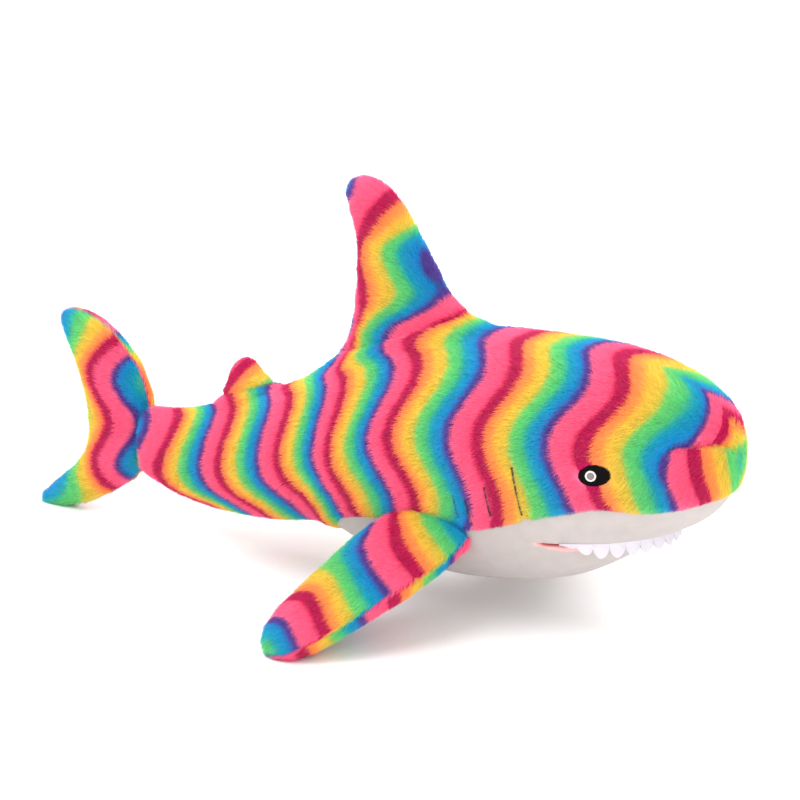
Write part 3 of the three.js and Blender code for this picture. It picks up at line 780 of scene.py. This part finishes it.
def grow_fur(skin, material, length_mm=PILE, per_mm2=FUR_PER_MM2, root_mm=0.15, bend=0.85, seed=7):
    """The pile of a skin, which follows the skin as it bends."""
    name = f"{skin.name}_pile"
    fibres = bpy.data.hair_curves.new(name)
    obj = bpy.data.objects.new(name, fibres)
    bpy.context.collection.objects.link(obj)
    modifier = obj.modifiers.new("pile", "NODES")
    modifier.node_group = fur_nodes(name, skin, material, length_mm, per_mm2, root_mm, bend, seed)


# ---- scene -----------------------------------------------------------------------------------
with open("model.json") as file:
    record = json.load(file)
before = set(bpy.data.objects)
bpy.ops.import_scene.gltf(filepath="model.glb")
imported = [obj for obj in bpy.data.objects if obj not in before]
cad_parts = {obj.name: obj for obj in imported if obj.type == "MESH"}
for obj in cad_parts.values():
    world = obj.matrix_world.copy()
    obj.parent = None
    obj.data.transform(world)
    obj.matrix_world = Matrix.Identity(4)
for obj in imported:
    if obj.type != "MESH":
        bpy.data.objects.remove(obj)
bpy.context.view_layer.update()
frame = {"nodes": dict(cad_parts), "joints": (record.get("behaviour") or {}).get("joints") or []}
nodes_of = frame["nodes"]

skin_material = striped_skin_material()
fibre_material = striped_fur_material()


def seam_outline(shift, low=-60):
    xs = np.arange(10, 301, 5.0)
    outline = [(xs[0] - shift, low)]
    outline += [(x - shift, float(look_up(BELLY_SEAM, x, 1)) + shift) for x in xs]
    return outline + [(340, 108 + shift), (340, low)]


whole = trunk_solid("whole_trunk", -178)
below = prism("below_seam", seam_outline(0.6))
below_wide = prism("below_seam_wide", seam_outline(2.6))

# striped trunk with the dorsal fin, remeshed as one and parted below the fin's hinge line
striped = combine(copy_of("striped", whole), below, "DIFFERENCE")
dorsal_nodes = ["right_dorsal_fin_panel", "left_dorsal_fin_panel", "dorsal_fin_stuffing"]
flare = ellipsoid("flare", DORSAL_HINGE, DORSAL_FLARE)
rear_flare = ellipsoid("rear_flare", REAR_HINGE, REAR_FLARE)
fillets = [fillet(f"fillet_{k}", curve, radii) for k, (curve, radii) in enumerate(FILLETS)]
union = joined("union", [striped, flare, rear_flare, *fillets] + [nodes_of[n] for n in dorsal_nodes])
discard(striped, flare, rear_flare, *fillets)
remesh(union, 2.0)
relax(union, 6)
(hx0, hz0), (hx1, hz1) = DORSAL_HINGE
HINGE_ALONG = np.array([hx1 - hx0, 0, hz1 - hz0]) / math.hypot(hx1 - hx0, hz1 - hz0)
HINGE_UP = np.array([-HINGE_ALONG[2], 0, HINGE_ALONG[0]])
HINGE_MIDDLE = np.array([(hx0 + hx1) / 2, 0, (hz0 + hz1) / 2])
q = positions(union) / MM + (ORIGIN_X, 0, 0) - HINGE_MIDDLE
near_base = 1 - smoothstep(18, 34, np.abs(q @ HINGE_UP + 6))
near_base *= 1 - smoothstep(60, 80, np.abs(q @ HINGE_ALONG))
relax(union, 40, near_base * 0.9, inflate=0)
relax(union, 2)
swell(union, SKIN_GROW)


def split(obj, name, point, normal):
    """Parts a mesh at a plane into two closed ones; returns the part on the normal's side."""
    far = copy_of(name, obj)
    for target, sign in ((obj, -1), (far, 1)):
        bm = bmesh.new()
        bm.from_mesh(target.data)
        geometry = bm.verts[:] + bm.edges[:] + bm.faces[:]
        cut = bmesh.ops.bisect_plane(bm, geom=geometry, plane_co=point, plane_no=Vector(normal) * sign,
                                     clear_inner=True)
        edges = [e for e in cut["geom_cut"] if isinstance(e, bmesh.types.BMEdge)]
        bmesh.ops.holes_fill(bm, edges=edges)
        bm.to_mesh(target.data)
        bm.free()
        for polygon in target.data.polygons:
            polygon.use_smooth = True
    return far


CUT_DROP = 7
cut_point = frame_point(*(HINGE_MIDDLE - HINGE_UP * CUT_DROP))
trunk_skin = union
trunk_skin.name = "striped_trunk"
dorsal_skin = split(union, "dorsal_fin_skin", cut_point, HINGE_UP)


def back_phase(points):
    """Trunk stripes, passing into the dorsal fin's above the back."""
    q = points / MM + (ORIGIN_X, 0, 0) - HINGE_MIDDLE
    fin = smoothstep(-26, -4, q @ HINGE_UP) * (1 - smoothstep(24, 46, np.abs(q[:, 1])))
    forward = q @ HINGE_ALONG
    fin *= (1 - smoothstep(66, 100, forward)) * smoothstep(-75, -58, forward)
    return trunk_place(points) * (1 - fin) + dorsal_place(points) * fin


def cut_cover(points):
    """Nothing grows on the faces along which the dorsal fin's skin leaves the back."""
    q = points / MM + (ORIGIN_X, 0, 0) - HINGE_MIDDLE
    return np.abs(q @ HINGE_UP + CUT_DROP) > 0.3


def dress(obj, place, direction, bald=None):
    """Gives a skin its print, its pile and its materials."""
    points = positions(obj)
    lie = np.broadcast_to(np.asarray(direction, float), points.shape)
    set_float(obj, "place", place(points + lie * FIBRE_REACH * MM))
    pile = combed(obj, direction)
    fur = np.where(np.abs(points[:, 1]) < 0.06, cut_cover(points), True).astype(float)
    if bald is not None:
        cover, short = bald(points)
        fur, pile = fur * cover, pile * short
    set_float(obj, "fur", fur)
    set_float(obj, "pile", pile)
    obj.data.materials.clear()
    obj.data.materials.append(skin_material)
    grow_fur(obj, fibre_material)


def segment_distance(points, a, b):
    a, b = np.array(a), np.array(b)
    d = b - a
    t = np.clip((points - a) @ d / (d @ d), 0, 1)[:, None]
    return np.linalg.norm(points - (a + t * d), axis=1)


def gill_ends(gill, side):
    top_x, top_z, bottom_x, bottom_z = gill
    top = (top_x, -side * trunk_side(top_x, top_z), top_z)
    bottom = (bottom_x, -side * trunk_side(bottom_x, bottom_z), bottom_z)
    return top, bottom


def trunk_bald(points):
    p = points / MM + (ORIGIN_X, 0, 0)
    cover, short = np.ones(len(p)), np.ones(len(p))
    for side in (1, -1):
        centre = np.array([EYE["x"], -side * trunk_side(EYE["x"], EYE["level"]), EYE["level"]])
        d = p - centre
        reach = np.sqrt((np.hypot(d[:, 0], d[:, 1]) / (EYE["long"] / 2)) ** 2 + (d[:, 2] / (EYE["high"] / 2)) ** 2)
        cover *= smoothstep(0.9, 1.02, reach)
        short *= 0.35 + 0.65 * smoothstep(1.0, 1.7, reach)
        for gill in GILLS:
            distance = segment_distance(p, *gill_ends(gill, side))
            short *= 0.5 + 0.5 * smoothstep(1, 5, distance)
    # nothing grows on the cut face inside the belly seam
    level = look_up(BELLY_SEAM, np.clip(p[:, 0], 8, 300), 1)
    short *= np.where(p[:, 0] > 0, 0.55 + 0.45 * smoothstep(1, 8, p[:, 2] - level), 1)
    inside = (p[:, 0] > 10) & (p[:, 2] < level + 1.5) & (np.abs(p[:, 1]) < trunk_side(p[:, 0], level) - 3)
    cover[inside] = 0
    return cover, short


def press_gills(obj):
    """The four tucks on each side draw the fabric in, and so does the seam of the nose's dart."""
    points, outward = positions(obj), normals(obj)
    p = points / MM + (ORIGIN_X, 0, 0)
    along, girth = trunk_coordinates(points)
    depth = 1.6 * np.exp(-(above_dart(along, girth) / 2.2) ** 2) * (p[:, 2] > 100)
    for side in (1, -1):
        for gill in GILLS:
            distance = segment_distance(p, *gill_ends(gill, side))
            depth = np.maximum(depth, 1.8 * np.exp(-(distance / 3) ** 2))
            depth -= 0.9 * np.exp(-((distance - 9) / 4) ** 2)
    move_to(obj, points - outward * depth[:, None] * MM)


press_gills(trunk_skin)
dress(trunk_skin, back_phase, (-0.9, 0, -0.45), trunk_bald)
dress(dorsal_skin, back_phase, (-0.75, 0, 0.25))

rear_fin_skin = remesh(joined("rear_fin_skin", [nodes_of[n] for n in (
    "right_rear_dorsal_fin_panel", "left_rear_dorsal_fin_panel", "rear_dorsal_fin_stuffing")]), 1.6)
relax(rear_fin_skin, 4)


def rear_fin_place(points):
    """The crimson stripe at the fin's rear end leans forward up the fin."""
    (x0, z0), (x1, z1) = REAR_HINGE
    x = points[:, 0] / MM + ORIGIN_X
    height = points[:, 2] / MM - np.interp(x, [x0, x1], [z0, z1])
    return 1 + (x - x0 - 1.1 * height) / 105


dress(rear_fin_skin, rear_fin_place, (-0.8, 0, 0.2), lambda p: (np.ones(len(p)), np.full(len(p), 0.6)))

tail_skin = remesh(joined("tail_fin_skin", [nodes_of[n] for n in (
    "right_tail_fin_panel", "left_tail_fin_panel", "tail_fin_stuffing")]), 2.0)
relax(tail_skin, 5)
swell(tail_skin, 0.4)
dress(tail_skin, tail_place, (-0.9, 0, 0.1))

flipper_skins = {}
for name, side in (("right", 1), ("left", -1)):
    skin = remesh(joined(f"{name}_flipper_skin", [nodes_of[f"{name}_flipper_{n}"] for n in (
        "top_panel", "bottom_panel", "stuffing")]), 2.0)
    relax(skin, 5)
    direction = flipper_axes(positions(skin), side)[3]
    dress(skin, lambda p, s=side: flipper_place(p, s), direction)
    flipper_skins[name] = skin

# ---- white belly, jaw and lip ------------------------------------------------------------------
white_material = short_pile_material("white_plush", (173, 164, 161), (189, 181, 178), 0.1)
tinted_by(white_material, "lining", (240, 176, 174))
lining_material = short_pile_material("mouth_lining", (250, 170, 172), (255, 190, 190), 0.1)
felt_material = felt_sheet_material("felt", (198, 192, 200), (214, 209, 217))

white = combine(copy_of("white", whole), below_wide, "INTERSECT")
LIP_REACH = 30
mouth = prism("mouth", [(MOUTH_X, MOUTH_LEVEL - MOUTH_HALF_GAP), (340, MOUTH_LEVEL - MOUTH_HALF_GAP),
                        (340, 300), (MOUTH_X, 300)])
above_slit = prism("above_slit", [(MOUTH_X - LIP_REACH, MOUTH_LEVEL + MOUTH_HALF_GAP),
                                  (340, MOUTH_LEVEL + MOUTH_HALF_GAP), (340, 300), (MOUTH_X - LIP_REACH, 300)])
belly = combine(copy_of("belly_and_jaw", white), mouth, "DIFFERENCE")
lip = combine(copy_of("upper_lip", white), above_slit, "INTERSECT")
discard(white, mouth, above_slit, whole, below, below_wide)


def show_lining(obj):
    """The mouth lining shows as a pink wedge in each corner of the mouth."""
    x, _, z = (positions(obj) / MM + (ORIGIN_X, 0, -MOUTH_LEVEL)).T
    wedge = 1.2 + 3.2 * smoothstep(MOUTH_X, MOUTH_X + 16, x)
    share = (1 - smoothstep(1.2, 2.4, z)) * smoothstep(-wedge - 0.8, -wedge + 0.4, z)
    share *= smoothstep(MOUTH_X - 4, MOUTH_X + 3, x) * (1 - smoothstep(MOUTH_X + 24, MOUTH_X + 34, x))
    set_float(obj, "lining", share)


for piece in (belly, lip):
    remesh(piece, 1.8)
    relax(piece, 5)
    show_lining(piece)
    piece.data.materials.append(white_material)


def sink_lip_end(obj):
    """The lip's fabric runs back over the belly's and sinks into it, so that no edge shows."""
    points = positions(obj)
    x = points[:, 0] / MM + ORIGIN_X
    middle = trunk_section(x)[0]
    inward = np.stack([np.zeros(len(x)), -points[:, 1], middle * MM - points[:, 2]], 1)
    inward /= np.linalg.norm(inward, axis=1)[:, None]
    share = 1 - smoothstep(MOUTH_X - LIP_REACH + 2, MOUTH_X - 4, x)
    move_to(obj, points + inward * (share * 4 - 0.5)[:, None] * MM)


sink_lip_end(lip)


def teeth_strip():
    """Felt strip sewn under the lip, cut into rounded teeth and tapered towards both corners."""
    xs = np.concatenate([np.linspace(TEETH["from_x"], NOSE_X - 1, 160), [NOSE_X - 0.01]])
    outline = [(x, trunk_side(x, TEETH["level"])) for x in xs if trunk_side(x, TEETH["level"]) > 0.5]
    half = [(x, -y) for x, y in outline] + [(outline[-1][0], 0)]
    path = np.array(half + [(x, -y) for x, y in reversed(half[:-1])])
    run = np.concatenate([[0], np.cumsum(np.linalg.norm(np.diff(path, axis=0), axis=1))])
    steps = int(run[-1] / TEETH["step"])
    at = np.linspace(0, run[-1], steps + 1)
    px, py = np.interp(at, run, path[:, 0]), np.interp(at, run, path[:, 1])
    tangent = np.stack([np.gradient(px), np.gradient(py)], 1)
    tangent /= np.linalg.norm(tangent, axis=1)[:, None]
    outward = np.stack([tangent[:, 1], -tangent[:, 0]], 1)
    count = round(run[-1] / TEETH["pitch"])
    wave = np.abs(np.sin(math.pi * at / run[-1] * count)) ** 0.75
    taper = smoothstep(0, 26, at) * smoothstep(0, 26, run[-1] - at)
    drop = TEETH["band"] * (0.25 + 0.75 * taper) + TEETH["tooth"] * wave * taper
    verts, rows = [], 7
    for face in (0, 1):
        for k in range(steps + 1):
            for r in range(rows):
                share = r / (rows - 1)
                out = TEETH["proud"] + TEETH["flare"] * share**1.5 + TEETH["thick"] * (1 - face)
                x, y = px[k] + outward[k, 0] * out, py[k] + outward[k, 1] * out
                verts.append(frame_point(x, y, TEETH["top"] - drop[k] * share - TEETH["tuck"] * (share - 1) * 0))
    side = (steps + 1) * rows
    faces = []
    for k in range(steps):
        for r in range(rows - 1):
            a, b = k * rows + r, (k + 1) * rows + r
            faces.append((a, b, b + 1, a + 1))
            faces.append((side + a, side + a + 1, side + b + 1, side + b))
        for r in (0, rows - 1):
            a, b = k * rows + r, (k + 1) * rows + r
            faces.append((a, side + a, side + b, b))
    for k in (0, steps):
        for r in range(rows - 1):
            a = k * rows + r
            faces.append((a, a + 1, side + a + 1, side + a))
    obj = new_object("teeth_strip", verts, faces)
    recalculate(obj)
    obj.data.materials.append(felt_material)
    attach(obj, "body")
    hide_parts("upper_teeth")
    return obj


teeth_strip()
# The gill stitches are near black: the thread's own dark colour with the painted shade of the tucks they sew in.
tuck_shade_thread_material = stitched_material("gill_thread", (40, 32, 34), (72, 58, 60), 0.7, 0.8)
for name in ("right", "left"):
    for number in range(1, len(GILLS) + 1):
        nodes_of[f"{name}_gill_stitch_{number}"].data.materials[0] = tuck_shade_thread_material
for name in ("upper_mouth_lining", "lower_mouth_lining"):
    nodes_of[name].data.materials[0] = lining_material

# ---- eyes --------------------------------------------------------------------------------------
black_material = stitched_material("black_embroidery", (2, 2, 2), (8, 7, 7), 0.5, specular=0.06)
ring_material = stitched_material("white_embroidery", (200, 196, 192), (222, 218, 214), 0.6)
lilac_material = stitched_material("lilac_embroidery", (116, 106, 108), (134, 124, 126), 0.6)


def embroidered(name, centre, basis, half_long, half_high, height, tilt, material, body, node, hole=0.0):
    """A raised oval of stitching, or a ring where hole is its inner share."""
    rings, sides = 10, 64
    verts, faces = [], []
    inner = [hole + (1 - hole) * r / rings for r in range(rings + 1)] if hole else [r / rings for r in range(rings + 1)]
    for r, share in enumerate(inner):
        slope = (share - (hole + 1) / 2) / ((1 - hole) / 2) if hole else share**2
        rise = height * math.sqrt(max(0.0, 1 - slope**2))
        for k in range(sides):
            a = 2 * math.pi * k / sides
            u, w = half_long * share * math.cos(a), half_high * share * math.sin(a)
            x = u * math.cos(tilt) - w * math.sin(tilt)
            y = u * math.sin(tilt) + w * math.cos(tilt)
            verts.append(centre + basis @ Vector((x, y, rise)) * MM)
    for r in range(rings):
        for k in range(sides):
            n = (k + 1) % sides
            faces.append((r * sides + k, r * sides + n, (r + 1) * sides + n, (r + 1) * sides + k))
    base = len(verts)
    for r in (0, rings):
        for k in range(sides):
            verts.append(verts[r * sides + k] - basis @ Vector((0, 0, 1.2)) * MM)
    for k in range(sides):
        n = (k + 1) % sides
        faces.append((rings * sides + k, rings * sides + n, base + sides + n, base + sides + k))
        faces.append((base + k, base + n, n, k))
        faces.append((base + sides + k, base + sides + n, base + n, base + k))
    obj = new_object(name, verts, faces)
    bm = bmesh.new()
    bm.from_mesh(obj.data)
    bmesh.ops.remove_doubles(bm, verts=bm.verts, dist=1e-7)
    bmesh.ops.recalc_face_normals(bm, faces=bm.faces)
    bm.to_mesh(obj.data)
    bm.free()
    for polygon in obj.data.polygons:
        polygon.use_smooth = True
    obj.data.materials.append(material)
    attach(obj, body)
    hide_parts(node)
    return obj


for name, side in (("right", 1), ("left", -1)):
    normal = side_normal(EYE["x"], EYE["level"])
    normal.y *= side
    up = (Vector((0, 0, 1)) - normal * normal.z).normalized()
    across = up.cross(normal).normalized()
    basis = Matrix((across, up, normal)).transposed()
    centre = frame_point(EYE["x"], -side * trunk_side(EYE["x"], EYE["level"]), EYE["level"])
    tilt = math.radians(EYE["tilt"]) * side
    embroidered(f"{name}_eye", centre + normal * 0.8 * MM, basis, EYE["long"] / 2, EYE["high"] / 2, 2.0, tilt,
                black_material, "body", f"{name}_eye_patch")
    middle = centre + across * (-2.2 * side) * MM + normal * 2.6 * MM
    embroidered(f"{name}_eye_white", middle, basis, 3.6, 3.6, 0.7, 0, ring_material,
                "body", f"{name}_eye_ring", hole=0.62)
    embroidered(f"{name}_eye_disc", middle, basis, 2.3, 2.3, 0.45, 0, lilac_material,
                "body", f"{name}_eye_pupil")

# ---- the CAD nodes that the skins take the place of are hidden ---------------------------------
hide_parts("right_side_panel", "left_side_panel", "right_stem_panel", "left_stem_panel",
            "body_stuffing", "stem_stuffing")
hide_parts(*dorsal_nodes)
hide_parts("right_rear_dorsal_fin_panel", "left_rear_dorsal_fin_panel", "rear_dorsal_fin_stuffing")
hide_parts("right_tail_fin_panel", "left_tail_fin_panel", "tail_fin_stuffing")
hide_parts("belly_panel", "jaw_panel", "jaw_stuffing")
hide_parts("snout_underside_panel")
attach(lip, "body")
for name, skin in flipper_skins.items():
    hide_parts(*[f"{name}_flipper_{n}" for n in ("top_panel", "bottom_panel", "stuffing")])

JOINTS = {joint["name"]: joint for joint in frame["joints"]}


def bend_across(obj, joint, direction):
    pivot, direction = Vector(JOINTS[joint]["pos_m"]), Vector(direction).normalized()
    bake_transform(obj)


bend_across(trunk_skin, "tail_bend", (-1, 0, 0))
bend_across(tail_skin, "tail_fin_sway", (-1, 0, 0))
bend_across(dorsal_skin, "dorsal_fin_lean", HINGE_UP)
bend_across(rear_fin_skin, "rear_dorsal_fin_lean", (-0.316, 0, 0.949))
bend_across(belly, "jaw_open", (1, 0, 0))
for name, side in (("right", 1), ("left", -1)):
    direction = flipper_axes(positions(flipper_skins[name]), side)[3]
    bend_across(flipper_skins[name], f"{name}_flipper_lift", direction)

# ---- floor, lights, camera ---------------------------------------------------------------------
floor_material, floor_shader = new_material("floor", 0.9)
mottled(floor_material, floor_shader, grain(floor_material, 60), (249, 249, 249), (251, 251, 251))
floor = new_object("floor", [(-6, -6, 0), (6, -6, 0), (6, 6, 0), (-6, 6, 0)], [(0, 1, 2, 3)])
floor.data.materials.append(floor_material)

world = bpy.data.worlds.new("studio")
bpy.context.scene.world = world
world.use_nodes = True
world.node_tree.nodes["Background"].inputs["Color"].default_value = (1, 1, 1, 1)
world.node_tree.nodes["Background"].inputs["Strength"].default_value = 1.15


def area_light(name, location, aim, size, power):
    light = bpy.data.lights.new(name, "AREA")
    light.size, light.energy = size, power
    obj = bpy.data.objects.new(name, light)
    obj.location = location
    obj.rotation_euler = (Vector(aim) - Vector(location)).to_track_quat("-Z", "Y").to_euler()
    bpy.context.collection.objects.link(obj)


area_light("key", (-0.3, -1.0, 2.2), (0, 0, 0.1), 1.6, 34)
area_light("fill", (1.8, -0.9, 1.1), (0, 0, 0.1), 1.8, 14)

area_light("rim", (-0.6, 1.6, 1.3), (0, 0, 0.12), 1.2, 26)

camera_data = bpy.data.cameras.new("camera")
camera_data.lens = 98.7
camera = bpy.data.objects.new("camera", camera_data)
camera.location = (0.8135, -1.2430, 0.5501)
camera.rotation_euler = (Vector((0.0392, 0, 0.1313)) - camera.location).to_track_quat("-Z", "Y").to_euler()
bpy.context.collection.objects.link(camera)
bpy.context.scene.camera = camera
bpy.context.scene.view_settings.view_transform = "Standard"
